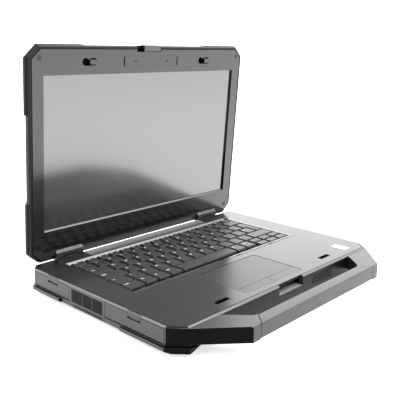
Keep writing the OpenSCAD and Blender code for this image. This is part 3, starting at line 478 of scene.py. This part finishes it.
# nodes, material, and which of their faces get it, as painted light and shade; a later row paints over an
# earlier one
PAINTS = (
    # painted shade: the upright faces across the front corners are painted near-black
    (CORNER_NODES, "painted_shade_rubber", faces_corner),
    # painted light: the wall behind the handle gets the lighter lid finish
    (("base_upper_frame", "base_lower_shell"), "lid_casing", front_wall),
    # painted light: the lower bumpers' sides get the lighter casing finish, while their corners stay dark
    (("lower_corner_bumpers",), "casing_plastic", bumper_side),
    # painted shade: the deck's front and side edges are painted black to widen the dark seam
    (("palm_rest_deck",), "port_black", deck_edge),
    # painted shade: the walls of the vent slots are painted black, and their outer faces get the lid finish
    (("side_vent_grille",), "lid_casing", faces_left),
    (("side_vent_grille",), "port_black", lambda normal, centre: abs(normal.x) < FACES),
    # painted shade: the walls of the speaker holes are painted black, and their outer faces get the lid
    # finish
    (("speaker_grille",), "lid_casing", faces_front),
    (("speaker_grille",), "port_black", lambda normal, centre: abs(normal.y) < FACES),
    # painted light: the upward faces at the top of the lid and of its corner bumpers get lighter finishes
    (("lid_back_cover",), "painted_highlight_edge", faces_up),
    (("lid_corner_bumpers",), "casing_plastic", faces_up),
    # painted highlights on the base's top bevel, the slope behind the keys and the latch tab's front
    (("base_upper_frame",), "painted_highlight_edge", rim_bevel),
    (("keyboard_frame",), "painted_highlight_edge", rear_slope),
    (("lid_latch_tab",), "painted_highlight_edge", faces_front),
    # painted shade on the latch recess walls, with a painted highlight on its lower ledge
    (("latch_recess_lip",), "port_black", lambda normal, centre: normal.z < 0.7),
    (("latch_recess_lip",), "painted_highlight_ledge", lambda normal, centre: normal.z > 0.7),
    # painted highlight on the floors of the doors' catch recesses
    (DOOR_NODES, "painted_highlight_edge", door_recess),
    # painted highlight on the sloping lip below the screen
    (("lid_bezel",), "painted_highlight_lip", at_screen_foot),
)


# puts the painted light and shade listed in PAINTS onto the rounded pieces
def paint_light_and_shade():
    for nodes, material, chosen in PAINTS:
        for node in nodes:
            paint_faces(FINISHED[node], material, chosen)


LEGENDS = {
    "keys_function_row": ["Esc"] + [f"F{i}" for i in range(1, 13)] + ["Prt", "Ins", "Del"],
    "keys_number_row": ["`", *"1234567890", "-", "=", "<-"],
    "keys_top_letter_row": ["->|", *"QWERTYUIOP", "[", "]"],
    "keys_home_row": ["Cap", *"ASDFGHJKL", ";", "'", "#"],
    "keys_bottom_letter_row": ["^", "\\", *"ZXCVBNM", ",", ".", "/", "^"],
    "keys_modifier_row": ["Ctrl", "Fn", "o", "Alt", "Alt", "Ctrl"],
    "keys_arrow_cluster": ["<", "-", "v", "^", ">", "+"],
    "key_enter": ["<-|"],
}
LEGEND_SIZE = 4.7 * MM
LEGEND_BOLD = 0.16 * MM
LEGEND_INSET = (3.0 * MM, 2.6 * MM)
LEGEND_RISE = 0.03 * MM


def make_legends():
    """Small printed characters at the rear left of each cap, one piece for each row of keys."""
    for node, words in LEGENDS.items():
        bm = bmesh.new()
        for word, (low, high) in zip(words, islands(node)):
            short = high.y - low.y < 11 * MM
            curve = bpy.data.curves.new("legend", "FONT")
            curve.body = word
            curve.size = LEGEND_SIZE * (0.72 if short or len(word) > 1 else 1)
            curve.offset = LEGEND_BOLD
            curve.resolution_u = 3
            text = bpy.data.objects.new("legend", curve)
            mesh = bpy.data.meshes.new_from_object(text)
            down = curve.size * 0.7 + LEGEND_INSET[1] * (0.55 if short else 1)
            mesh.transform(Matrix.Translation((low.x + LEGEND_INSET[0], high.y - down, high.z + LEGEND_RISE)))
            bm.from_mesh(mesh)
            bpy.data.objects.remove(text)
            bpy.data.curves.remove(curve)
            bpy.data.meshes.remove(mesh)
        mesh = bpy.data.meshes.new(node + "_legends")
        bm.to_mesh(mesh)
        bm.free()
        piece = new_piece(node + "_legends", mesh, BODY_OF[node], "legend_ink")


def rounded_plate(name, x0, x1, y0, y1, z, thick, radius, body, material):
    """A thin horizontal plate with round corners, such as a label."""
    bm = bmesh.new()
    bottom = []
    for cx, cy, start in ((x1 - radius, y0 + radius, -90), (x1 - radius, y1 - radius, 0),
                          (x0 + radius, y1 - radius, 90), (x0 + radius, y0 + radius, 180)):
        for step in range(7):
            a = math.radians(start + step * 15)
            bottom.append(bm.verts.new((cx + radius * math.cos(a), cy + radius * math.sin(a), z)))
    face = bm.faces.new(bottom)
    top = bmesh.ops.extrude_face_region(bm, geom=[face])
    bmesh.ops.translate(bm, verts=[v for v in top["geom"] if isinstance(v, bmesh.types.BMVert)],
                        vec=(0, 0, thick))
    bmesh.ops.recalc_face_normals(bm, faces=bm.faces)
    mesh = bpy.data.meshes.new(name)
    bm.to_mesh(mesh)
    bm.free()
    piece = new_piece(name, mesh, body, material)
    finish_mesh(piece)
    return piece


LABEL_SIZE = (13 * MM, 21 * MM)
LABEL_INSET = (25.5 * MM, 9 * MM)
LABEL_RISE = 0.01 * MM
LABEL_THICK = 0.12 * MM
LABEL_RADIUS = 1.2 * MM


def make_label():
    """A blank pale label at the deck's right front corner."""
    deck_low, deck_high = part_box("palm_rest_deck")
    x1 = deck_high.x - LABEL_INSET[0]
    y0 = deck_low.y + LABEL_INSET[1]
    piece = rounded_plate("blank_label", x1 - LABEL_SIZE[0], x1, y0, y0 + LABEL_SIZE[1],
                          deck_high.z + LABEL_RISE, LABEL_THICK, LABEL_RADIUS, "base", "label_paper")


bpy.context.scene.view_settings.view_transform = "Standard"
make_camera()
make_world()
make_floor()
make_lamp()
make_casings()
paint_light_and_shade()
make_legends()
make_label()
